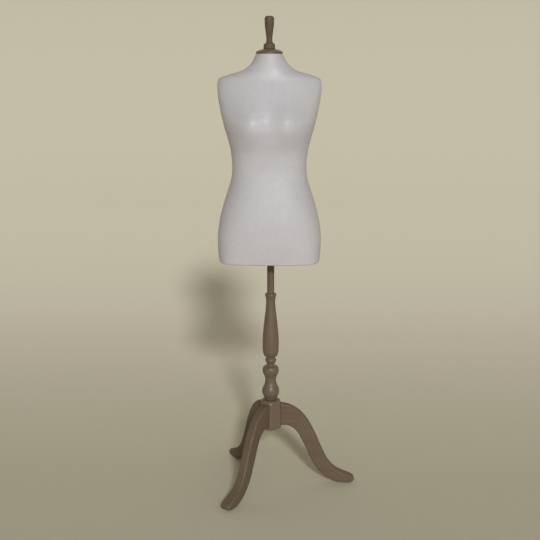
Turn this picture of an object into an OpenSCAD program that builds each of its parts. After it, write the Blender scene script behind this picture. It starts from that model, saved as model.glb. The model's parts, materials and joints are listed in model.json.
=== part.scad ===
// Dress form torso on a turned tripod stand. Millimetres, +Z up.
// Origin: on the floor, on the axis of the stem. The torso faces -Y.

/* [Torso] */
// Height of the torso's hem above the floor
hem_z = 812; // [806:1:830]
// Height of the torso from its hem to the top of the neck
torso_h = 694; // [680:1:710]
// Width across the shoulders
shoulder_w = 348; // [336:1:360]
// Width at the bust line
bust_w = 311; // [300:1:322]
// Width at the waist
waist_w = 251; // [240:1:262]
// Width at the hips
hip_w = 353; // [340:1:366]
// Width at the hem
hem_w = 341; // [330:1:350]
// Diameter of the neck's top
neck_d = 89; // [84:1:94]
// How far each breast stands out of the chest
bust_depth = 16; // [10:1:26]
// Wall thickness of the moulded shell
wall = 3.5; // [3:0.5:4]
// Sideways offset of the torso from the pole
torso_dx = -4.5; // [-6:0.5:0]

/* [Pole and clamp] */
// Diameter of the height pole
pole_d = 25; // [24:0.5:26]
// Lower end of the pole above the floor
pole_low = 506; // [504:1:520]
// Radial clearance of the pole in the stem and in the socket
slide_gap = 0.05; // [0.02:0.01:0.1]
// Height of the clamp screw above the floor
clamp_z = 686.5; // [686:0.5:687]
// Diameter of the clamp knob
knob_d = 20; // [18:1:24]

/* [Stand] */
// Height of the top of the stem's collar
stem_top = 694.5; // [694:0.5:696]
// Height of the hub's underside above the floor
hub_low = 204; // [202:1:206]
// Height of the hub's top above the floor
hub_top = 310; // [310:1:310]
// Distance across two opposite flats at the top of the hub
hub_flats = 68.8; // [68:0.1:70]
// Thickness of a leg board
leg_t = 30; // [28:1:31]
// Radius of the rounded edges of a leg
leg_edge_r = 6; // [4:1:7]
// Radius of the circle that the foot pads stand on
foot_circle_r = 270; // [268:1:273]
// Diameter of a foot pad
pad_d = 16; // [14:1:16]
// Thickness of a foot pad
pad_t = 3; // [3:0.5:3]

/* [Hidden] */
$fn = 64;

shell_white = [0.73, 0.71, 0.69];
wood_brown = [0.41, 0.34, 0.28];
brass_colour = [0.72, 0.58, 0.32];
steel_colour = [0.62, 0.62, 0.63];
pad_colour = [0.12, 0.12, 0.12];
ply_colour = [0.70, 0.58, 0.42];

pole_r = pole_d / 2;
bore_r = pole_r + slide_gap;
bore_low = 398;
hub_flare = 2.4;
leg_angles = [0, 120, 240];
neck_top = hem_z + torso_h;
board_z = hem_z + 4;
board_t = 12;
pole_top = 880;
washer_t = 1.5;
socket_r = 16.5;
groove_z = 859;
tenon_low = 270;
cavity_top = 258;
bolt_z = 243;
dowel_z = 279;
insert_r = 5;
screw_r = 3;

// ---- smooth curves through a few points ----

// slope of column k between rows i and i + 1
function slope(p, i, k) = (p[i + 1][k] - p[i][k]) / (p[i + 1][0] - p[i][0]);

// tangent at row i, zero at a peak or a dip so that the curve never overshoots
function tangent(p, i, k) =
    i == 0 ? slope(p, 0, k) :
    i == len(p) - 1 ? slope(p, i - 1, k) :
    let (a = slope(p, i - 1, k), b = slope(p, i, k))
    a * b <= 0 ? 0 : 2 * a * b / (a + b);

function row(p, x, i = 0) = i >= len(p) - 2 || x <= p[i + 1][0] ? i : row(p, x, i + 1);

// column k at x, where column 0 rises down the list
function smooth(p, x, k) =
    let (i = row(p, x), h = p[i + 1][0] - p[i][0], t = (x - p[i][0]) / h)
    (2 * pow(t, 3) - 3 * t * t + 1) * p[i][k]
    + (pow(t, 3) - 2 * t * t + t) * h * tangent(p, i, k)
    + (3 * t * t - 2 * pow(t, 3)) * p[i + 1][k]
    + (pow(t, 3) - t * t) * h * tangent(p, i + 1, k);

// a turned outline: steps points between neighbouring rows of [height, radius]
function turned(p, steps) = [
    for (i = [0 : len(p) - 2], s = [0 : steps - 1])
        let (z = p[i][0] + (p[i + 1][0] - p[i][0]) * s / steps) [smooth(p, z, 1), z],
    [p[len(p) - 1][1], p[len(p) - 1][0]]
];

// ---- the torso's form ----

function between(a, b, t) = a + (b - a) * t;

// rows of [height above the hem, half width, depth in front, depth behind, squareness]
form = [
    [0, hem_w / 2, 109, 101, 3.6],
    [24, between(hem_w, hip_w, 0.55) / 2, 111.5, 104, 3.2],
    [77, hip_w / 2, 114.5, 109, 2.9],
    [132, between(waist_w, hip_w, 0.89) / 2, 114, 111, 2.8],
    [187, between(waist_w, hip_w, 0.64) / 2, 108.5, 105, 2.7],
    [242, between(waist_w, hip_w, 0.305) / 2, 100.5, 91, 2.6],
    [290, between(waist_w, hip_w, 0.045) / 2, 93.5, 78, 2.5],
    [318, waist_w / 2, 91, 73, 2.5],
    [364, between(waist_w, bust_w, 0.1) / 2, 93, 73, 2.4],
    [418, between(waist_w, bust_w, 0.5) / 2, 102, 80, 2.4],
    [445, between(waist_w, bust_w, 0.77) / 2, 105, 84, 2.4],
    [471, bust_w / 2, 103.5, 87, 2.5],
    [500, between(bust_w, shoulder_w, 0.346) / 2, 96, 88, 2.5],
    [525, between(bust_w, shoulder_w, 0.6) / 2, 87, 88, 2.5],
    [551, between(bust_w, shoulder_w, 0.84) / 2, 77, 87, 2.5],
    [592, shoulder_w / 2, 61.5, 83, 2.4],
    [603, between(bust_w, shoulder_w, 0.9) / 2, 57.6, 79, 2.3],
    [614, between(neck_d, shoulder_w, 0.955) / 2, 54.2, 74, 2.2],
    [627, between(neck_d, shoulder_w, 0.7) / 2, 51.2, 68, 2.1],
    [640, between(neck_d, shoulder_w, 0.37) / 2, 49.2, 63, 2],
    [654, between(neck_d, shoulder_w, 0.2) / 2, 47.8, 57, 2],
    [670, between(neck_d, shoulder_w, 0.09) / 2, 46.4, 51, 2],
    [torso_h, neck_d / 2, neck_d / 2, neck_d / 2, 2]
];

// the rise of one breast at u outside its middle, which falls more steeply on the inner side
function rise(u) = exp(-pow(u / (u > 0 ? 52 : 42), 2));

// how far the breasts add to the front, x across and h above the hem
function breast(x, h) =
    bust_depth * exp(-pow((h - 455) / (h > 455 ? 70 : 56), 2)) * (rise(x - 66) + rise(-x - 66));

// point of the outer surface at angle t (0 at the wearer's left, 90 in front) and height h
function skin(t, h) =
    let (
        n = smooth(form, h, 4),
        k = pow(pow(abs(cos(t)), n) + pow(abs(sin(t)), n), -1 / n),
        x = smooth(form, h, 1) * k * cos(t),
        d = smooth(form, h, sin(t) > 0 ? 2 : 3) * k * sin(t)
    )
    [x, -d - (sin(t) > 0 ? breast(x, h) * min(1, d / 40) : 0), h];

function unit(v) = v / norm(v);

// the same point moved in by a distance along the surface's normal
function inset(t, h, by) =
    let (
        lo = max(h - 0.5, 0),
        hi = min(h + 0.5, torso_h)
    )
    skin(t, h) + by * unit(cross(skin(t + 0.5, h) - skin(t - 0.5, h), skin(t, hi) - skin(t, lo)));

// point of the inner surface, kept level at the hem and the neck and flat at the parting line
function lining(t, h) =
    let (p = inset(t, h, wall))
    [p[0], t % 180 == 0 ? 0 : p[1], h == 0 || h == torso_h ? h : p[2]];

heights = [
    for (h = [0 : 12 : 564]) h,
    for (h = [572 : 5 : 602]) h,
    for (h = [605 : 2 : 645]) h,
    for (h = [649 : 5 : 689]) h,
    torso_h
];
columns = 18;

// half of the shell, from angle t0 round to t0 + 180
module half_shell(t0) {
    rows = len(heights);
    angles = [for (c = [0 : columns]) t0 + 180 * c / columns];
    outer = [for (h = heights, t = angles) skin(t, h)];
    inner = [for (h = heights, t = angles) lining(t, h)];
    w = columns + 1;
    m = rows * w;
    faces = [
        for (r = [0 : rows - 2], c = [0 : columns - 1])
            let (a = r * w + c, b = a + 1, d = a + w, e = d + 1)
            each [[a, b, e], [a, e, d], [m + a, m + e, m + b], [m + a, m + d, m + e]],
        for (c = [0 : columns - 1])
            let (a = c, b = c + 1, d = (rows - 1) * w + c, e = d + 1)
            each [[a, m + a, m + b], [a, m + b, b], [d, e, m + e], [d, m + e, m + d]],
        for (r = [0 : rows - 2])
            let (a = r * w, d = a + w, b = a + columns, e = b + w)
            each [[a, d, m + d], [a, m + d, m + a], [b, m + b, m + e], [b, m + e, e]]
    ];
    translate([torso_dx, 0, hem_z])
        polyhedron(
            points = concat(outer, inner),
            faces = [for (f = faces) [f[0], f[2], f[1]]],
            convexity = 6
        );
}

module torso_front_shell() {
    color(shell_white) half_shell(0);
}

module torso_back_shell() {
    color(shell_white) half_shell(180);
}

// ---- inside the torso ----

strip_x = [for (h = [36 : 12 : 552]) [smooth(form, h, 1) - wall * 1.1 - 1.6, h]];

module seam_strips() {
    color(shell_white)
    translate([torso_dx, 0, hem_z])
        for (side = [0, 1])
            mirror([side, 0, 0])
                rotate([90, 0, 0])
                    linear_extrude(20, center = true)
                        polygon(concat(
                            strip_x,
                            [for (i = [len(strip_x) - 1 : -1 : 0]) strip_x[i] - [2.5, 0]]
                        ));
}

board_line = [for (t = [0 : 10 : 350]) let (p = inset(t, board_z - hem_z, wall + 1.4)) [p[0], p[1]]];

module base_board() {
    color(ply_colour)
    difference() {
        translate([torso_dx, 0, board_z])
            linear_extrude(board_t)
                polygon(board_line);
        translate([0, 0, board_z - 1])
            cylinder(r = socket_r + 0.5, h = board_t + 2);
        for (a = [45 : 90 : 315])
            rotate(a)
                translate([27, 0, board_z - 1])
                    cylinder(r = 2, h = board_t);
    }
}

module pole_socket() {
    top = pole_top + washer_t + 0.4;
    color(steel_colour)
    difference() {
        union() {
            translate([0, 0, hem_z])
                cylinder(r = 36, h = 4);
            translate([0, 0, hem_z])
                cylinder(r = socket_r, h = top + 5 - hem_z);
        }
        translate([0, 0, hem_z - 1])
            cylinder(r = bore_r, h = top - hem_z + 1);
        for (a = [45 : 90 : 315])
            rotate(a)
                translate([27, 0, hem_z - 1])
                    cylinder(r = 2.2, h = 6);
        translate([0, 10, groove_z])
            rotate([-90, 0, 0])
                cylinder(r = 3.05, h = 10);
    }
}

module socket_screws() {
    color(steel_colour)
    for (a = [45 : 90 : 315])
        rotate(a)
            translate([27, 0, hem_z]) {
                translate([0, 0, -2.2])
                    cylinder(r = 3.8, h = 2.2);
                translate([0, 0, -0.1])
                    cylinder(r = 1.95, h = 13);
            }
}

module socket_set_screw() {
    color(steel_colour)
    difference() {
        translate([0, 10.9, groove_z])
            rotate([-90, 0, 0])
                cylinder(r = screw_r, h = 6.6);
        translate([0, 15.5, groove_z])
            rotate([-90, 30, 0])
                cylinder(r = 1.7, h = 3, $fn = 6);
    }
}

// ---- neck cap and finial ----

module neck_block() {
    color(ply_colour)
    translate([torso_dx, 0, neck_top - 18])
        difference() {
            cylinder(r = neck_d / 2 - wall - 0.6, h = 17.9);
            translate([0, 0, -1])
                cylinder(r = 7, h = 20);
        }
}

module neck_insert() {
    color(brass_colour)
    translate([torso_dx, 0, neck_top - 17])
        difference() {
            cylinder(r = 6.95, h = 15);
            translate([0, 0, -1])
                cylinder(r = 4, h = 17);
        }
}

// rows of [height above the neck's top, radius]
cap_line = [
    [0, 43.4], [1.2, 44.5], [4, 44.9], [6.5, 44], [9, 41.2], [11.2, 37], [13.2, 31.5], [15, 25], [16.3, 20.8],
    [17.2, 19.2]
];

module neck_cap() {
    color(wood_brown)
    translate([torso_dx, 0, neck_top])
        rotate_extrude()
            difference() {
                polygon(concat([[0, 0]], turned(cap_line, 3), [[0, 17.2]]));
                square([4.05, 18]);
            }
}

finial_line = [
    [17.2, 18.8], [18.6, 19.6], [21, 19.3], [29, 19.1], [31, 18.6], [33, 16.9], [35, 13.8], [37.5, 11.5],
    [42, 10.1], [49, 9.9], [58, 10.7], [76, 13.1], [95, 15.2], [109, 15.9], [114, 15.7], [117.8, 14.9],
    [120.8, 12.8], [122.3, 9.6]
];

module finial() {
    color(wood_brown)
    translate([torso_dx, 0, neck_top])
        rotate_extrude()
            difference() {
                polygon(concat([[0, 17.2]], turned(finial_line, 3), [[0, 122.6]]));
                square([4.05, 58]);
            }
}

module finial_stud() {
    color(steel_colour)
    translate([torso_dx, 0, neck_top - 16])
        cylinder(r = 3.95, h = 70);
}

// ---- pole ----

module pole() {
    color(wood_brown)
    rotate_extrude()
        polygon([
            [0, pole_low], [pole_r - 1.5, pole_low], [pole_r, pole_low + 1.5],
            [pole_r, groove_z - 4], [10.5, groove_z - 4], [10.5, groove_z + 4], [pole_r, groove_z + 4],
            [pole_r, pole_top - 1], [pole_r - 1, pole_top], [0, pole_top]
        ]);
}

module thrust_washer() {
    color(pad_colour)
    translate([0, 0, pole_top])
        difference() {
            cylinder(r = pole_r - 0.5, h = washer_t);
            translate([0, 0, -1])
                cylinder(r = 4, h = 4);
        }
}

// ---- clamp, at the back of the collar ----

// a cylinder along +Y at the clamp's height, from y to y + h
module clamp_rod(y, r, h) {
    translate([0, y, clamp_z])
        rotate([-90, 0, 0])
            cylinder(r = r, h = h);
}

module clamp_insert() {
    color(brass_colour)
    difference() {
        clamp_rod(bore_r + 0.9, insert_r - 0.02, 5.4);
        clamp_rod(bore_r, screw_r + 0.06, 8);
    }
}

module clamp_pad() {
    color(pad_colour)
    clamp_rod(pole_r + 0.35, screw_r - 0.02, 2.2);
}

module clamp_screw() {
    color(steel_colour)
    clamp_rod(pole_r + 2.9, screw_r, 18);
}

module clamp_knob() {
    grips = 12;
    color(brass_colour)
    difference() {
        union() {
            clamp_rod(pole_r + 9.5, 6, 4);
            clamp_rod(pole_r + 13.4, knob_d / 2, 9);
            clamp_rod(pole_r + 22.3, knob_d / 2 - 2, 1.6);
        }
        clamp_rod(pole_r + 9, screw_r, 11.9);
        for (i = [0 : grips - 1])
            translate([0, pole_r + 13, clamp_z])
                rotate([-90, i * 360 / grips, 0])
                    translate([knob_d / 2 + 0.7, 0, 0])
                        cylinder(r = 1.8, h = 12, $fn = 24);
    }
}

// ---- stem ----

stem_line = [
    [hub_top, 20.2], [313, 21], [317, 22.4], [323, 25.4], [330, 28.6], [338, 30.3], [346, 29.8], [356, 27],
    [367, 21.8], [377, 19.6], [386, 19.4], [395, 21.4], [404, 25.6], [414, 28.7], [422, 28.7], [427, 27],
    [431.5, 23.6], [434, 19], [435.8, 15.3], [438.5, 14.1], [442, 14.4], [445.5, 15.6], [449, 17.8],
    [453, 19.2], [456, 19.5], [459, 18.6], [461.5, 16], [463.5, 15.3], [465.5, 16.2], [467.5, 18.4],
    [470, 22.3], [474, 24.2], [478, 25.7], [484, 27.2], [496, 28.2], [514, 28.5], [532, 28.2], [553, 26.9],
    [578, 24.5], [602, 21.9], [626, 19], [646, 16.9], [660, 16], [668.5, 15.9], [675.6, 16.6], [680.5, 17.4],
    [683, 18], [685.2, 19.2], [688, 19.7], [stem_top - 3.5, 19.6], [stem_top - 1.3, 18.8], [stem_top, 17.4]
];

module stem() {
    color(wood_brown)
    difference() {
        union() {
            rotate_extrude()
                polygon(concat([[0, hub_top]], turned(stem_line, 3), [[0, stem_top]]));
            translate([0, 0, tenon_low])
                cylinder(r = 15, h = hub_top - tenon_low + 1);
        }
        translate([0, 0, bore_low])
            cylinder(r = bore_r, h = stem_top);
        translate([0, 0, tenon_low - 1])
            cylinder(r = 8, h = 28);
        clamp_rod(5, insert_r, 20);
    }
}

module stem_insert() {
    color(brass_colour)
    translate([0, 0, tenon_low])
        difference() {
            cylinder(r = 7.95, h = 25);
            translate([0, 0, -1])
                cylinder(r = 5, h = 27);
        }
}

module tie_bolt() {
    color(steel_colour) {
        translate([0, 0, cavity_top - 2 - 6.4])
            cylinder(r = 9.8, h = 6.4, $fn = 6);
        translate([0, 0, cavity_top - 2.1])
            cylinder(r = 4.95, h = 34);
    }
}

module tie_washer() {
    color(steel_colour)
    translate([0, 0, cavity_top - 2])
        difference() {
            cylinder(r = 13.5, h = 2);
            translate([0, 0, -1])
                cylinder(r = 5.3, h = 4);
        }
}

// ---- hub and legs ----

// the turned limit of the hub, rounded at both rims
hub_line = [
    [hub_low, 31], [hub_low + 1.4, 35], [hub_low + 4.5, 38.2], [hub_low + 9, 40], [hub_low + 16, 40.7],
    [hub_top - 22, 38.6], [hub_top - 12, 37.9], [hub_top - 6.5, 36], [hub_top - 3, 33.4], [hub_top - 1, 30.8],
    [hub_top, 28]
];

// distance from the axis to a flat of the hub at height z
function hub_in(z) = hub_flats / 2 + hub_flare * (hub_top - z) / (hub_top - hub_low);

// a cylinder along +X at height z, from x to x + h
module radial_rod(x, z, r, h) {
    translate([x, 0, z])
        rotate([0, 90, 0])
            cylinder(r = r, h = h);
}

module hub() {
    color(wood_brown)
    difference() {
        intersection() {
            rotate(30)
                translate([0, 0, hub_low])
                    cylinder(
                        r1 = hub_in(hub_low) / cos(30), r2 = hub_in(hub_top) / cos(30),
                        h = hub_top - hub_low, $fn = 6
                    );
            rotate_extrude()
                polygon(concat([[0, hub_low]], turned(hub_line, 3), [[0, hub_top]]));
        }
        translate([0, 0, tenon_low])
            cylinder(r = 15.02, h = 60);
        translate([0, 0, cavity_top - 1])
            cylinder(r = 5.3, h = 20);
        rotate(30)
            translate([0, 0, hub_low - 1])
                cylinder(r = 20 / cos(30), h = cavity_top - hub_low + 1, $fn = 6);
        for (a = leg_angles)
            rotate(a) {
                radial_rod(16, bolt_z, 4.05, 25);
                radial_rod(19, dowel_z, 5.02, 25);
            }
    }
}

// rows of [station, top x, top z, lower x, lower z, half thickness]
leg_line = [
    [0, hub_in(296.5), 296.5, hub_in(216.5), 216.5, 1],
    [1, 54, 293.8, 51, 217, 1],
    [2, 72.5, 287.3, 64.5, 214.5, 1],
    [3, 91, 277, 77, 208, 1],
    [4, 109, 262.5, 88, 199, 1],
    [5, 124, 245, 98.5, 185.5, 1],
    [6, 138, 223.5, 108, 168, 1],
    [7, 151, 200, 118, 148, 1],
    [8, 164, 172, 129, 123.5, 1],
    [9, 177, 141, 140.5, 98.5, 1],
    [10, 190.5, 110, 153, 74, 1.01],
    [11, 204.5, 84.5, 168.5, 51.5, 1.03],
    [12, 220.5, 64.5, 187.5, 33, 1.07],
    [13, 238.5, 50.5, 210, 17.5, 1.13],
    [14, 257.5, 41, 235, 7, 1.2],
    [15, 275, 33.5, 258, pad_t, 1.26],
    [16, 287, 28.5, 279, pad_t, 1.28],
    [17, 295, 23, 288.5, 4.2, 1.22],
    [18, 298.8, 18, 294.5, 7, 1.05],
    [19, 299.5, 14.5, 297.5, 10.5, 0.8]
];
leg_steps = 3;
corner_steps = 4;

// one slice of a leg: a rounded rectangle between its top and its lower edge
function leg_slice(s) =
    let (
        up = [smooth(leg_line, s, 1), smooth(leg_line, s, 2)],
        low = [smooth(leg_line, s, 3), smooth(leg_line, s, 4)],
        half = leg_t / 2 * smooth(leg_line, s, 5),
        len = norm(up - low),
        dir = (up - low) / len,
        r = min(leg_edge_r, len / 2 - 0.3)
    )
    [
        for (c = [0 : 3], i = [0 : corner_steps])
            let (
                a = 90 * c + 90 * i / corner_steps,
                u = (c == 0 || c == 3 ? len - r : r) + r * cos(a),
                v = (c < 2 ? half - r : r - half) + r * sin(a)
            )
            [low[0] + dir[0] * u, v, low[1] + dir[1] * u]
    ];

module leg() {
    stations = (len(leg_line) - 1) * leg_steps;
    n = 4 * (corner_steps + 1);
    slices = [for (s = [0 : stations]) each leg_slice(s / leg_steps)];
    sides = [
        for (s = [0 : stations - 1], i = [0 : n - 1])
            let (a = s * n + i, b = s * n + (i + 1) % n)
            each [[a, b, b + n], [a, b + n, a + n]]
    ];
    ends = [[for (i = [n - 1 : -1 : 0]) i], [for (i = [0 : n - 1]) stations * n + i]];
    difference() {
        polyhedron(points = slices, faces = concat(sides, ends), convexity = 6);
        radial_rod(34, bolt_z, 4.05, 43);
        radial_rod(34, dowel_z, 5.02, 17);
    }
}

module leg_right() {
    color(wood_brown) rotate(leg_angles[0]) leg();
}

module leg_back() {
    color(wood_brown) rotate(leg_angles[1]) leg();
}

module leg_front() {
    color(wood_brown) rotate(leg_angles[2]) leg();
}

module leg_bolts() {
    color(steel_colour)
    for (a = leg_angles)
        rotate(a) radial_rod(12.5, bolt_z, 4, 62);
}

module leg_washers() {
    color(steel_colour)
    for (a = leg_angles)
        rotate(a)
            difference() {
                radial_rod(18.4, bolt_z, 8, 1.6);
                radial_rod(17, bolt_z, 4.1, 5);
            }
}

module leg_nuts() {
    color(steel_colour)
    for (a = leg_angles)
        rotate(a)
            difference() {
                translate([13.4, 0, bolt_z])
                    rotate([0, 90, 0])
                        cylinder(r = 7.5, h = 5, $fn = 6);
                radial_rod(12, bolt_z, 4.02, 8);
            }
}

module leg_dowels() {
    color(ply_colour)
    for (a = leg_angles)
        rotate(a) radial_rod(20, dowel_z, 5, 29);
}

module foot_pads() {
    color(pad_colour)
    for (a = leg_angles)
        rotate(a)
            translate([foot_circle_r, 0, 0])
                cylinder(r = pad_d / 2, h = pad_t);
}

torso_front_shell();
torso_back_shell();
seam_strips();
base_board();
pole_socket();
socket_screws();
socket_set_screw();
neck_block();
neck_insert();
neck_cap();
finial();
finial_stud();
pole();
thrust_washer();
clamp_pad();
clamp_screw();
clamp_knob();
stem();
clamp_insert();
stem_insert();
hub();
tie_bolt();
tie_washer();
leg_right();
leg_back();
leg_front();
leg_bolts();
leg_washers();
leg_nuts();
leg_dowels();
foot_pads();
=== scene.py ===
"""Dress form on a turned tripod stand: the looks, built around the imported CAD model.

Metres and +Z up in the scene, millimetres in the tables of sizes. The torso faces -Y.
"""
import json
import math

import bpy
import numpy as np
from mathutils import Matrix, Vector


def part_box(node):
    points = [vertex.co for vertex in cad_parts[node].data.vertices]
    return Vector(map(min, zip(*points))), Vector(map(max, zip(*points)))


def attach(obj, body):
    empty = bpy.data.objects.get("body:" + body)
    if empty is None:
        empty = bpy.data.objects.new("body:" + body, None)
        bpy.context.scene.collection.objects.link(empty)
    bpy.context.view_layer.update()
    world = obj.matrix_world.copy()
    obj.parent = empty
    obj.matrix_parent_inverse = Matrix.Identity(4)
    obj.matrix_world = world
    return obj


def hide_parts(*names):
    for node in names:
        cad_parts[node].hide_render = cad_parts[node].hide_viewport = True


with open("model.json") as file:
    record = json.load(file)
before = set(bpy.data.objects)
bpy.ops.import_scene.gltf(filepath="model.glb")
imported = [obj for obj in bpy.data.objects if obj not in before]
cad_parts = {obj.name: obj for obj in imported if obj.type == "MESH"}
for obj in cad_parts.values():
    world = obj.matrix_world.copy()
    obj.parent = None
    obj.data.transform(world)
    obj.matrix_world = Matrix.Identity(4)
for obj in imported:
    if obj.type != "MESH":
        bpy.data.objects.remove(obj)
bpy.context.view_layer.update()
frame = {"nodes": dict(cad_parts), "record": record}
nodes = frame["nodes"]
MM = 0.001


# ---------------------------------------------------------------- curves and meshes

def tangents(x, y):
    """Slopes for a smooth curve through the points that never overshoots."""
    s = np.diff(y) / np.diff(x)
    m = np.empty(len(x))
    m[0], m[-1] = s[0], s[-1]
    for i in range(1, len(x) - 1):
        m[i] = 0 if s[i - 1] * s[i] <= 0 else 2 * s[i - 1] * s[i] / (s[i - 1] + s[i])
    return m


def smooth(table, at, k):
    """Column k of table at the values in at, where column 0 rises down the table."""
    p = np.array(table, float)
    x, y = p[:, 0], p[:, k]
    m = tangents(x, y)
    at = np.asarray(at, float)
    i = np.clip(np.searchsorted(x, at, side="right") - 1, 0, len(x) - 2)
    h = x[i + 1] - x[i]
    t = (at - x[i]) / h
    return (
        (2 * t**3 - 3 * t**2 + 1) * y[i]
        + (t**3 - 2 * t**2 + t) * h * m[i]
        + (3 * t**2 - 2 * t**3) * y[i + 1]
        + (t**3 - t**2) * h * m[i + 1]
    )


def new_object(name, points, faces, material, body, replaced, rotation=0.0):
    """A mesh from points in millimetres, riding on a CAD body in place of the CAD node replaced."""
    mesh = bpy.data.meshes.new(name)
    corners = [tuple(p) for p in np.asarray(points, float) * MM]
    mesh.from_pydata(corners, [], [tuple(int(i) for i in f) for f in faces])
    mesh.validate()
    mesh.update()
    mesh.shade_smooth()
    obj = bpy.data.objects.new(name, mesh)
    bpy.context.scene.collection.objects.link(obj)
    obj.rotation_euler[2] = math.radians(rotation)
    mesh.materials.append(material)
    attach(obj, body)
    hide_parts(replaced)


def grid_faces(rows, cols, closed=True, start=0, flip=False):
    """Quads between rows of points, each row with cols points."""
    found = []
    for r in range(rows - 1):
        for c in range(cols if closed else cols - 1):
            d = (c + 1) % cols
            this, above = start + r * cols, start + (r + 1) * cols
            q = [this + c, this + d, above + d, above + c]
            found.append(q[::-1] if flip else q)
    return found


def lathe(outline, segments=128):
    """Points and faces of a closed turned solid.

    The outline starts and ends on the axis, or runs round a bore and is closed from its end to its start.
    """
    closed_loop = outline[0][0] > 1e-6
    pts, faces, rows = [], [], []
    for r, z in outline:
        if r <= 1e-6:
            rows.append([len(pts)])
            pts.append((0, 0, z))
        else:
            rows.append(list(range(len(pts), len(pts) + segments)))
            for i in range(segments):
                a = 2 * math.pi * i / segments
                pts.append((r * math.cos(a), r * math.sin(a), z))
    pairs = list(zip(rows, rows[1:])) + ([(rows[-1], rows[0])] if closed_loop else [])
    for low, high in pairs:
        for i in range(segments):
            j = (i + 1) % segments
            if len(low) == 1 and len(high) == 1:
                break
            if len(low) == 1:
                faces.append((low[0], high[j], high[i]))
            elif len(high) == 1:
                faces.append((low[i], low[j], high[0]))
            else:
                faces.append((low[i], low[j], high[j], high[i]))
    return pts, faces


def turned(table):
    """Outline points of a turned surface, closely spaced along its height."""
    z = np.arange(table[0][0], table[-1][0], 0.6)
    z = np.append(z, table[-1][0])
    return list(zip(smooth(table, z, 1), z))


# ---------------------------------------------------------------- materials

class Nodes:
    """A short way to write a material's nodes."""

    def __init__(self, name):
        self.material = bpy.data.materials.new(name)
        self.material.use_nodes = True
        self.tree = self.material.node_tree
        self.tree.nodes.clear()
        self.shader = self.add("ShaderNodeBsdfPrincipled")
        out = self.add("ShaderNodeOutputMaterial")
        self.link(self.shader.outputs[0], out.inputs["Surface"])
        self.coords = self.add("ShaderNodeTexCoord").outputs["Object"]

    def add(self, kind, **values):
        node = self.tree.nodes.new(kind)
        for key, value in values.items():
            setattr(node, key, value)
        return node

    def link(self, a, b):
        self.tree.links.new(a, b)

    def set(self, **values):
        for key, value in values.items():
            self.shader.inputs[key.replace("_", " ")].default_value = value

    def noise(self, scale, detail, rough=0.5, distortion=0.0):
        """Noise with its own scale, per metre, along each of the three axes."""
        m = self.add("ShaderNodeMapping")
        m.inputs["Scale"].default_value = scale
        self.link(self.coords, m.inputs["Vector"])
        n = self.add("ShaderNodeTexNoise")
        self.link(m.outputs[0], n.inputs["Vector"])
        values = {"Scale": 1.0, "Detail": detail, "Roughness": rough, "Distortion": distortion}
        for key, value in values.items():
            n.inputs[key].default_value = value
        return n.outputs["Fac"]

    def remap(self, value, low, high, to_low, to_high):
        """Values from low to high, eased to the range from to_low to to_high."""
        n = self.add("ShaderNodeMapRange")
        n.interpolation_type = "SMOOTHSTEP"
        self.link(value, n.inputs["Value"])
        for key, v in (("From Min", low), ("From Max", high), ("To Min", to_low), ("To Max", to_high)):
            n.inputs[key].default_value = v
        return n.outputs["Result"]

    def ramp(self, value, stops):
        """A colour ramp from stops of (position, colour)."""
        n = self.add("ShaderNodeValToRGB")
        self.link(value, n.inputs["Fac"])
        e = n.color_ramp.elements
        e[0].position, e[0].color = stops[0][0], (*stops[0][1], 1)
        e[1].position, e[1].color = stops[-1][0], (*stops[-1][1], 1)
        for pos, colour in stops[1:-1]:
            e.new(pos).color = (*colour, 1)
        return n.outputs["Color"]

    def mix(self, factor, a, b, kind="MIX"):
        n = self.add("ShaderNodeMix", data_type="RGBA", blend_type=kind)
        for socket, v in ((n.inputs["Factor"], factor), (n.inputs[6], a), (n.inputs[7], b)):
            if isinstance(v, (int, float)):
                socket.default_value = v
            elif isinstance(v, tuple):
                socket.default_value = (*v, 1)
            else:
                self.link(v, socket)
        return n.outputs[2]

    def bump(self, height, distance, strength, after=None):
        n = self.add("ShaderNodeBump")
        n.inputs["Strength"].default_value = strength
        n.inputs["Distance"].default_value = distance
        self.link(height, n.inputs["Height"])
        if after is not None:
            self.link(after, n.inputs["Normal"])
        return n.outputs[0]


def skin_material():
    """Satin white moulded shell, faintly cloudy, with orange peel and a varying gloss.

    It is a little greyer where the surface faces upwards, as painted shade.
    """
    m = Nodes("torso_skin")
    cloud = m.noise((5, 5, 3.5), detail=4, rough=0.6)
    fine = m.noise((70, 70, 70), detail=3)
    white = [(0.3, (0.548, 0.533, 0.517)), (0.55, (0.564, 0.551, 0.538)), (0.75, (0.575, 0.564, 0.552))]
    tone = m.ramp(cloud, white)
    speck = m.ramp(fine, [(0.35, (0.965, 0.962, 0.955)), (0.6, (1, 1, 1))])
    clean = m.mix(1.0, tone, speck, "MULTIPLY")
    # painted shade: faces tilted upwards are made about 8% darker, as if less light fell on them
    shaded_up_colour = m.mix(1.0, clean, (0.92, 0.92, 0.915), "MULTIPLY")
    facing = m.add("ShaderNodeSeparateXYZ")
    m.link(m.add("ShaderNodeNewGeometry").outputs["Normal"], facing.inputs[0])
    shade_up_mask = m.remap(facing.outputs["Z"], 0.02, 0.40, 0.0, 1.0)
    m.link(m.mix(shade_up_mask, clean, shaded_up_colour), m.shader.inputs["Base Color"])
    m.link(m.remap(cloud, 0.3, 0.7, 0.41, 0.46), m.shader.inputs["Roughness"])
    peel = m.noise((420, 420, 420), detail=2)
    ripple = m.noise((26, 26, 18), detail=2)
    m.link(m.bump(peel, 0.00006, 0.5, m.bump(ripple, 0.0006, 0.25)), m.shader.inputs["Normal"])
    m.set(Specular_IOR_Level=0.35, Coat_Weight=0.05, Coat_Roughness=0.25)
    return m.material


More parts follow.
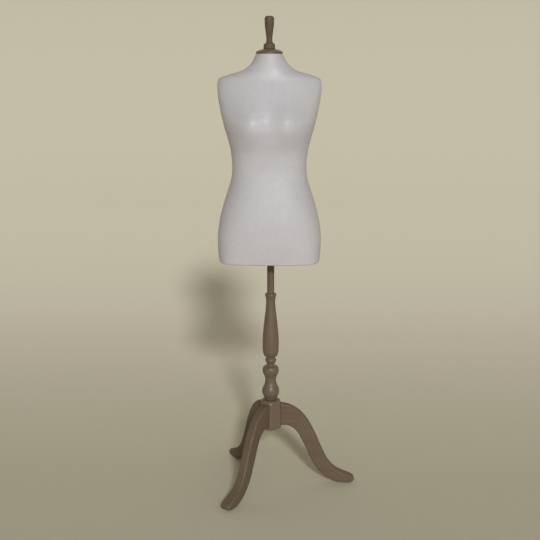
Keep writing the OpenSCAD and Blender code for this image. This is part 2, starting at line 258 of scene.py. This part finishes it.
def wood_material(name, grain, shade=1.0, gloss=1.0):
    """Taupe stain under satin varnish, the grain running along one axis."""
    m = Nodes(name)
    long, across = 2.2, 60  # noise per metre along and across the grain
    scale = {"X": (long, across, across), "Z": (across, across, long)}[grain]
    wide = m.noise(tuple(s * 0.45 for s in scale), detail=4, rough=0.6, distortion=0.8)
    lines = m.noise(tuple(s * 4 for s in scale), detail=3, rough=0.6)
    pores = m.noise(tuple(s * (12 if s == across else 8) for s in scale), detail=2)
    stain = [(0.28, (0.130, 0.091, 0.057)), (0.5, (0.147, 0.105, 0.067)), (0.75, (0.162, 0.118, 0.076))]
    tone = m.ramp(wide, [(stop, tuple(shade * c for c in colour)) for stop, colour in stain])
    streak = m.ramp(lines, [(0.3, (0.90, 0.89, 0.88)), (0.55, (1, 1, 1))])
    dark = m.ramp(pores, [(0.3, (0.80, 0.78, 0.76)), (0.42, (1, 1, 1))])
    edge = m.add("ShaderNodeNewGeometry").outputs["Pointiness"]
    worn = m.remap(edge, 0.53, 0.60, 0.0, 0.35)
    colour = m.mix(0.6, m.mix(0.8, tone, streak, "MULTIPLY"), dark, "MULTIPLY")
    colour = m.mix(worn, colour, tuple(shade * c for c in (0.20, 0.14, 0.10)))
    m.link(colour, m.shader.inputs["Base Color"])
    m.link(m.remap(lines, 0.3, 0.7, 0.36, 0.48), m.shader.inputs["Roughness"])
    m.link(m.bump(pores, 0.00012, 0.35, m.bump(lines, 0.0002, 0.3)), m.shader.inputs["Normal"])
    m.set(Specular_IOR_Level=0.25 * gloss, Coat_Weight=0.12 * gloss, Coat_Roughness=0.22)
    return m.material


def raw_wood_material():
    """Bare plywood and beech: pale, with layers across its thickness."""
    m = Nodes("raw_wood")
    grain = m.noise((6, 70, 300), detail=4, rough=0.6)
    ply = m.add("ShaderNodeTexWave", wave_type="BANDS", bands_direction="Z")
    ply.inputs["Scale"].default_value = 130
    ply.inputs["Distortion"].default_value = 1.5
    m.link(m.coords, ply.inputs["Vector"])
    tone = m.ramp(grain, [(0.3, (0.42, 0.30, 0.19)), (0.7, (0.60, 0.47, 0.32))])
    layer = m.ramp(ply.outputs["Fac"], [(0.2, (0.82, 0.78, 0.74)), (0.8, (1, 1, 1))])
    m.link(m.mix(0.6, tone, layer, "MULTIPLY"), m.shader.inputs["Base Color"])
    m.link(m.remap(grain, 0.3, 0.7, 0.6, 0.75), m.shader.inputs["Roughness"])
    m.link(m.bump(grain, 0.0003, 0.4), m.shader.inputs["Normal"])
    return m.material


def metal_material(name, light, dark, rough):
    """Metal with fine machining marks and a slightly uneven polish."""
    m = Nodes(name)
    marks = m.noise((30, 600, 600), detail=3)
    patch = m.noise((45, 45, 45), detail=4, rough=0.65)
    m.link(m.ramp(patch, [(0.3, dark), (0.65, light)]), m.shader.inputs["Base Color"])
    m.link(m.remap(patch, 0.3, 0.7, rough + 0.12, rough), m.shader.inputs["Roughness"])
    m.link(m.bump(marks, 0.00003, 0.5), m.shader.inputs["Normal"])
    m.set(Metallic=1.0)
    return m.material


def pad_material():
    """Dark felt-like plastic."""
    m = Nodes("pad_plastic")
    speck = m.noise((900, 900, 900), detail=2)
    tone = m.ramp(speck, [(0.3, (0.018, 0.016, 0.014)), (0.7, (0.05, 0.046, 0.04))])
    m.link(tone, m.shader.inputs["Base Color"])
    m.link(m.remap(speck, 0.3, 0.7, 0.7, 0.9), m.shader.inputs["Roughness"])
    m.link(m.bump(speck, 0.0002, 0.5), m.shader.inputs["Normal"])
    return m.material


SKIN = skin_material()
WOOD_Z = wood_material("wood_varnish", "Z", 1.08, 1.3)
FINIAL_WOOD = wood_material("wood_varnish_finial", "Z", 0.92, 0.6)
CAP_WOOD = wood_material("wood_varnish_cap", "Z", 1.0, 2.0)
WOOD_X = wood_material("wood_varnish_legs", "X", 1.03, 0.45)
POLE_WOOD = wood_material("pole_wood", "Z", 0.97)
RAW = raw_wood_material()
BRASS = metal_material("brass", (0.72, 0.53, 0.26), (0.52, 0.36, 0.17), 0.28)
STEEL = metal_material("steel", (0.56, 0.56, 0.57), (0.40, 0.40, 0.41), 0.32)
PAD = pad_material()

LOOKS = {
    "torso_skin": SKIN, "wood_varnish": WOOD_Z, "pole_wood": POLE_WOOD, "raw_wood": RAW,
    "brass": BRASS, "steel": STEEL, "pad_plastic": PAD,
}
for row in frame["record"]["subparts"]:
    mesh = nodes[row["node"]].data
    mesh.materials.clear()
    mesh.materials.append(LOOKS[row["material_slot"]])


# ---------------------------------------------------------------- torso

shell_low, shell_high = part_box("torso_back_shell")
HEM, NECK_TOP = shell_low.z / MM, shell_high.z / MM
TORSO_X = (shell_low.x + shell_high.x) / 2 / MM
TORSO_H = NECK_TOP - HEM
WALL = 3.5
HEM_ROLL = 3.0  # radius of the rolled edge at the hem
PARTING_BEVEL = 0.35

# height above the hem, half width, depth in front, depth behind, squareness
FORM = [
    (0, 170.5, 109, 101, 3.6),
    (24, 173.8, 111.5, 104, 3.2),
    (77, 176.5, 114.5, 109, 2.9),
    (132, 170.9, 114, 111, 2.8),
    (187, 158.1, 108.5, 105, 2.7),
    (242, 141.1, 100.5, 91, 2.6),
    (290, 127.8, 93.5, 78, 2.5),
    (318, 125.5, 91, 73, 2.5),
    (364, 128.5, 93, 73, 2.4),
    (418, 140.5, 102, 80, 2.4),
    (445, 148.6, 105, 84, 2.4),
    (471, 155.5, 103.5, 87, 2.5),
    (500, 161.9, 96, 88, 2.5),
    (525, 166.6, 87, 88, 2.5),
    (551, 171.0, 77, 87, 2.5),
    (592, 174.0, 61.5, 83, 2.4),
    (603, 172.2, 57.6, 79, 2.3),
    (614, 168.2, 54.2, 74, 2.2),
    (627, 135.2, 51.2, 68, 2.1),
    (640, 92.4, 49.2, 63, 2),
    (654, 70.4, 47.8, 57, 2),
    (670, 56.2, 46.4, 51, 2),
    (694, 44.5, 44.5, 44.5, 2),
]


def breast(x, h):
    """How far the breasts add to the front, x across and h above the hem."""
    fade = np.exp(-(((h - 455) / np.where(h > 455, 70.0, 56.0)) ** 2))
    outside = (x - 66, -x - 66)
    return 16 * fade * sum(np.exp(-((u / np.where(u > 0, 52.0, 42.0)) ** 2)) for u in outside)


def skin(t, h):
    """Outer surface of the torso at angle t in radians (0 at +X, a quarter turn in front) and height h."""
    n = smooth(FORM, h, 4)
    k = (np.abs(np.cos(t)) ** n + np.abs(np.sin(t)) ** n) ** (-1 / n)
    x = smooth(FORM, h, 1) * k * np.cos(t)
    front = np.sin(t) > 0
    d = np.where(front, smooth(FORM, h, 2), smooth(FORM, h, 3)) * k * np.sin(t)
    return np.stack([x, -d - np.where(front, breast(x, h) * np.clip(d / 40, 0, 1), 0), h], -1)


def torso_half(name, turn, replaced):
    """Half of the moulded shell: outer skin, rolled hem, inner lining and a fine bevel along the parting."""
    cols = 97
    # rows are close together where the shoulders and the hem curve most
    h = np.unique(np.concatenate([
        np.linspace(0, 12, 9), np.arange(12, 575, 4.0), np.arange(575, 606, 2.0),
        np.arange(606, 650, 0.8), np.arange(650, TORSO_H, 2.0), [TORSO_H],
    ]))
    h = h[np.append(True, np.diff(h) > 1e-3)]
    t = np.radians(turn) + np.linspace(0, math.pi, cols)
    T, H = np.meshgrid(t, h)
    outer = skin(T, H)
    small_angle, small_height = 0.004, 0.4
    around = skin(T + small_angle, H) - skin(T - small_angle, H)
    upwards = skin(T, np.minimum(H + small_height, TORSO_H)) - skin(T, np.maximum(H - small_height, 0))
    normal = np.cross(around, upwards)
    normal /= np.linalg.norm(normal, axis=-1, keepdims=True)
    inner = outer + WALL * normal
    inner[:, 0, 1] = inner[:, -1, 1] = 0
    inner[0, :, 2], inner[-1, :, 2] = 0, TORSO_H
    for i, height in enumerate(h):
        if height < HEM_ROLL:
            outer[i] += normal[i] * (HEM_ROLL - math.sqrt(HEM_ROLL**2 - (HEM_ROLL - height) ** 2))
    for col in (0, -1):
        outer[:, col] += normal[:, col] * PARTING_BEVEL
    rows = len(h)
    pts = np.concatenate([outer.reshape(-1, 3), inner.reshape(-1, 3)])
    m = rows * cols
    faces = grid_faces(rows, cols, closed=False, flip=True) + grid_faces(rows, cols, closed=False, start=m)
    for c in range(cols - 1):
        faces.append((c, c + 1, m + c + 1, m + c))
        top = (rows - 1) * cols + c
        faces.append((top + 1, top, m + top, m + top + 1))
    for r in range(rows - 1):
        a, b = r * cols, (r + 1) * cols
        faces.append((a, m + a, m + b, b))
        faces.append((a + cols - 1, b + cols - 1, m + b + cols - 1, m + a + cols - 1))
    pts += np.array([TORSO_X, 0, HEM])
    faces = [f[::-1] for f in faces]
    new_object(name, pts, faces, SKIN, "torso", replaced)


torso_half("torso_front_skin", 0, "torso_front_shell")
torso_half("torso_back_skin", 180, "torso_back_shell")


# ---------------------------------------------------------------- turned wood

# rows of (height above the neck's top, radius)
cap_line = [
    (0, 43.4), (1.2, 44.5), (4, 44.9), (6.5, 44), (9, 41.2), (11.2, 37), (13.2, 31.5), (15, 25),
    (16.3, 20.8), (17.2, 19.2),
]
finial_line = [
    (17.2, 18.8), (18.6, 19.6), (21, 19.3), (29, 19.1), (31, 18.6), (33, 16.9), (35, 13.8), (37.5, 11.5),
    (42, 10.1), (49, 9.9), (58, 10.7), (76, 13.1), (95, 15.2), (109, 15.9), (114, 15.7), (117.8, 14.9),
    (120.8, 12.8), (122.3, 9.6),
]
FINIAL_TOP = 122.6
STUD_BORE = 4.05
stem_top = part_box("stem")[1].z / MM
hub_low, hub_top = (corner.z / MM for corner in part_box("hub"))
# rows of (height above the floor, radius)
stem_line = [
    (hub_top, 20.2), (313, 21), (317, 22.4), (323, 25.4), (330, 28.6), (338, 30.3), (346, 29.8), (356, 27),
    (367, 21.8), (377, 19.6), (386, 19.4), (395, 21.4), (404, 25.6), (414, 28.7), (422, 28.7), (427, 27),
    (431.5, 23.6), (434, 19), (435.8, 15.3), (438.5, 14.1), (442, 14.4), (445.5, 15.6), (449, 17.8),
    (453, 19.2), (456, 19.5), (459, 18.6), (461.5, 16), (463.5, 15.3), (465.5, 16.2), (467.5, 18.4),
    (470, 22.3), (474, 24.2), (478, 25.7), (484, 27.2), (496, 28.2), (514, 28.5), (532, 28.2), (553, 26.9),
    (578, 24.5), (602, 21.9), (626, 19), (646, 16.9), (660, 16), (668.5, 15.9), (675.6, 16.6),
    (680.5, 17.4), (683, 18), (685.2, 19.2), (688, 19.7), (stem_top - 3.5, 19.6), (stem_top - 1.3, 18.8),
    (stem_top, 17.4),
]


def raised(table, by):
    """The table with its heights, in column 0, raised."""
    return [(z + by, r) for z, r in table]


cap_top = NECK_TOP + cap_line[-1][0]
outline = [(STUD_BORE, NECK_TOP)] + turned(raised(cap_line, NECK_TOP)) + [(STUD_BORE, cap_top)]
pts, faces = lathe(outline)
pts = np.array(pts) + [TORSO_X, 0, 0]
new_object("neck_cap_turned", pts, faces, CAP_WOOD, "torso", "neck_cap")

rim_z, rim_r = finial_line[-1]
crown = [
    (rim_r * math.cos(a), NECK_TOP + rim_z + (FINIAL_TOP - rim_z) * math.sin(a))
    for a in np.linspace(0.3, math.pi / 2, 8)
]
outline = [(0, NECK_TOP + finial_line[0][0])] + turned(raised(finial_line, NECK_TOP)) + crown[:-1]
pts, faces = lathe(outline + [(0, NECK_TOP + FINIAL_TOP)])
pts = np.array(pts) + [TORSO_X, 0, 0]
new_object("finial_turned", pts, faces, FINIAL_WOOD, "torso", "finial")

BORE, BORE_LOW = 12.55, 398  # radius and bottom of the bore that the pole slides in
TENON_R, TENON_LOW = 15, 270
outline = [(0, TENON_LOW), (TENON_R, TENON_LOW), (TENON_R, hub_top)] + turned(stem_line)
outline += [(BORE, stem_top), (BORE, BORE_LOW), (0, BORE_LOW)]
pts, faces = lathe(outline)
new_object("stem_turned", pts, faces, WOOD_Z, "stand", "stem")


# ---------------------------------------------------------------- hub and legs

# rows of (height above the floor, radius that the hub's six sides are rounded off to)
hub_line = [
    (hub_low, 31), (hub_low + 1.4, 35), (hub_low + 4.5, 38.2), (hub_low + 9, 40), (hub_low + 16, 40.7),
    (hub_top - 22, 38.6), (hub_top - 12, 37.9), (hub_top - 6.5, 36), (hub_top - 3, 33.4),
    (hub_top - 1, 30.8), (hub_top, 28),
]


def hub_in(z):
    """Distance from the axis to a flat of the hub, which widens a little towards its foot."""
    return 34.4 + 2.4 * (hub_top - z) / (hub_top - hub_low)


def soft_min(a, b, width):
    """The smaller of a and b, blended where they are closer than width."""
    k = np.clip(0.5 + 0.5 * (b - a) / width, 0, 1)
    return b + (a - b) * k - width * k * (1 - k)


HOLLOW_TOP = 258
HOLLOW_FLAT = 20  # distance from the axis to a flat of the hollow
BOLT_HOLE_R = 5.3


def hub_piece():
    """Six-sided block with softened arrises and rims, hollow underneath."""
    n = 240
    a = np.arange(n) * 2 * math.pi / n
    off = (a + math.pi / 6) % (math.pi / 3) - math.pi / 6  # angle from the middle of the nearest flat
    z = np.unique(np.concatenate([
        np.linspace(hub_low, hub_low + 16, 22), np.arange(hub_low + 18, hub_top - 22, 4),
        np.linspace(hub_top - 22, hub_top, 30),
    ]))
    rows = []
    for h, limit in zip(z, smooth(hub_line, z, 1)):
        r = soft_min(hub_in(h) / np.cos(off), np.full(n, limit + 0.4), 1.6)
        rows.append(np.stack([np.cos(a) * r, np.sin(a) * r, np.full(n, h)], -1))
    hollow = HOLLOW_FLAT / np.cos(off)
    mortise = np.full(n, TENON_R + 0.05)
    bolt_hole = np.full(n, BOLT_HOLE_R)
    inside = [
        (mortise, hub_top), (mortise, TENON_LOW), (bolt_hole, TENON_LOW), (bolt_hole, HOLLOW_TOP),
        (hollow, HOLLOW_TOP), (hollow, hub_low),
    ]
    for r, h in inside:
        rows.append(np.stack([np.cos(a) * r, np.sin(a) * r, np.full(n, h)], -1))
    pts = np.concatenate(rows)
    faces = grid_faces(len(rows), n)
    last = (len(rows) - 1) * n
    faces += [(last + i, last + (i + 1) % n, (i + 1) % n, i) for i in range(n)]
    new_object("hub_block", pts, faces, WOOD_Z, "stand", "hub")


hub_piece()

# rows of (number, reach and height of the upper edge, the same of the lower edge, thickness over LEG_T)
LEG_T = 30
leg_line = [
    (0, hub_in(296.5), 296.5, hub_in(216.5), 216.5, 1),
    (1, 54, 293.8, 51, 217, 1),
    (2, 72.5, 287.3, 64.5, 214.5, 1),
    (3, 91, 277, 77, 208, 1),
    (4, 109, 262.5, 88, 199, 1),
    (5, 124, 245, 98.5, 185.5, 1),
    (6, 138, 223.5, 108, 168, 1),
    (7, 151, 200, 118, 148, 1),
    (8, 164, 172, 129, 123.5, 1),
    (9, 177, 141, 140.5, 98.5, 1),
    (10, 190.5, 110, 153, 74, 1.01),
    (11, 204.5, 84.5, 168.5, 51.5, 1.03),
    (12, 220.5, 64.5, 187.5, 33, 1.07),
    (13, 238.5, 50.5, 210, 17.5, 1.13),
    (14, 257.5, 41, 235, 7, 1.2),
    (15, 275, 33.5, 258, 3, 1.26),
    (16, 287, 28.5, 279, 3, 1.28),
    (17, 295, 23, 288.5, 4.2, 1.22),
    (18, 298.8, 18, 294.5, 7, 1.05),
    (19, 299.5, 14.5, 297.5, 10.5, 0.8),
]


def leg_piece(name, angle, replaced):
    """An S-shaped board with rounded edges, made along +X and turned into place."""
    s = np.concatenate([np.linspace(0, 14, 85), np.linspace(14, 19, 51)[1:]])
    corner, per = 6.0, 7
    loops = []
    for v in s:
        up = np.array([smooth(leg_line, v, 1), smooth(leg_line, v, 2)])
        low = np.array([smooth(leg_line, v, 3), smooth(leg_line, v, 4)])
        half = LEG_T / 2 * smooth(leg_line, v, 5)
        length = np.linalg.norm(up - low)
        d = (up - low) / length
        r = min(corner, length / 2 - 0.3)
        loop = []
        for q in range(4):
            for i in range(per + 1):
                a = math.radians(90 * q + 90 * i / per)
                u = (length - r if q in (0, 3) else r) + r * math.cos(a)
                w = (half - r if q < 2 else r - half) + r * math.sin(a)
                loop.append((low[0] + d[0] * u, w, low[1] + d[1] * u))
        loops.append(loop)
    n = 4 * (per + 1)
    pts = np.array([p for loop in loops for p in loop])
    faces = grid_faces(len(loops), n)
    faces.append(tuple(range(n - 1, -1, -1)))
    faces.append(tuple((len(loops) - 1) * n + i for i in range(n)))
    new_object(name, pts, faces, WOOD_X, "stand", replaced, rotation=angle)


leg_piece("leg_right_board", 0, "leg_right")
leg_piece("leg_back_board", 120, "leg_back")
leg_piece("leg_front_board", 240, "leg_front")


# ---------------------------------------------------------------- stage, lights, camera

# distance along the floor and up the backdrop in metres, and its colour there, with painted light and shade
BACKDROP_PAINTED_LIGHT = [
    (0.0, (0.63, 0.58, 0.43)),
    (0.9, (0.70, 0.65, 0.50)),
    (1.8, (0.79, 0.73, 0.59)),
    (2.8, (0.70, 0.65, 0.50)),
    (4.1, (0.61, 0.57, 0.42)),
    (6.3, (0.55, 0.51, 0.38)),
]


def stage_material():
    """Plain paper, its colour changing slowly along the floor and up the backdrop as painted light and
    shade.
    """
    m = Nodes("backdrop")
    place = m.add("ShaderNodeSeparateXYZ")
    m.link(m.coords, place.inputs[0])
    distance = m.add("ShaderNodeMath", operation="ADD")
    m.link(place.outputs["Y"], distance.inputs[0])
    m.link(place.outputs["Z"], distance.inputs[1])
    along = m.add("ShaderNodeMapRange")
    m.link(distance.outputs[0], along.inputs["Value"])
    near, far = -1.0, 7.0
    along.inputs["From Min"].default_value, along.inputs["From Max"].default_value = near, far
    stops = [((at - near) / (far - near), colour) for at, colour in BACKDROP_PAINTED_LIGHT]
    # painted light and shade: brightest where the floor starts to bend up, darker towards the front and
    # higher up
    m.link(m.ramp(along.outputs["Result"], stops), m.shader.inputs["Base Color"])
    m.set(Roughness=0.9, Specular_IOR_Level=0.2)
    return m.material


def sweep():
    """A plain pale floor that curves up into a backdrop far behind the object."""
    start, radius, half = 1.9, 2.5, 14.0
    line = [(-12.0, 0.0), (-4.0, 0.0), (0.0, 0.0), (start, 0.0)]
    bend = np.linspace(0, math.pi / 2, 49)[1:]
    line += [(start + radius * math.sin(a), radius - radius * math.cos(a)) for a in bend]
    line.append((start + radius, 9.0))
    pts = [(x, y, z) for y, z in line for x in (-half, half)]
    faces = [(2 * i, 2 * i + 1, 2 * i + 3, 2 * i + 2) for i in range(len(line) - 1)]
    mesh = bpy.data.meshes.new("backdrop")
    mesh.from_pydata(pts, [], faces)
    mesh.shade_smooth()
    obj = bpy.data.objects.new("backdrop", mesh)
    mesh.materials.append(stage_material())
    bpy.context.scene.collection.objects.link(obj)


sweep()

world = bpy.data.worlds.new("world")
bpy.context.scene.world = world
world.use_nodes = True
world.node_tree.nodes["Background"].inputs["Color"].default_value = (1.0, 0.95, 0.76, 1)
world.node_tree.nodes["Background"].inputs["Strength"].default_value = 0.09


def sun(name, azimuth, elevation, strength, spread, colour):
    """A soft, distant light; azimuth is counted from -Y towards +X, spread is its width, all in degrees."""
    a, e = math.radians(azimuth), math.radians(elevation)
    light = bpy.data.lights.new(name, "SUN")
    light.energy, light.angle, light.color = strength, math.radians(spread), colour
    obj = bpy.data.objects.new(name, light)
    bpy.context.scene.collection.objects.link(obj)
    towards = Vector((math.sin(a) * math.cos(e), -math.cos(a) * math.cos(e), math.sin(e)))
    obj.location = 6 * towards
    obj.rotation_euler = towards.to_track_quat("Z", "Y").to_euler()


sun("key", 8.1, 24.0, 1.87, 5.3, (0.93, 0.935, 1.0))
sun("front", 1.0, 2.0, 1.06, 100.0, (0.93, 0.935, 1.0))
sun("side", 55.0, 8.0, 0.28, 80.0, (0.93, 0.935, 1.0))

camera = bpy.data.objects.new("camera", bpy.data.cameras.new("camera"))
bpy.context.scene.collection.objects.link(camera)
bpy.context.scene.camera = camera
camera.data.lens, camera.data.sensor_width = 65.0, 36.0
orbit, tilt = math.radians(1.0), math.radians(90 - 11.21)
camera.location = Matrix.Rotation(orbit, 3, "Z") @ Vector((-0.0024, -3.307, 1.432))
camera.rotation_euler = (tilt, 0, orbit)
camera.data.clip_end = 60
bpy.context.scene.view_settings.view_transform = "Standard"
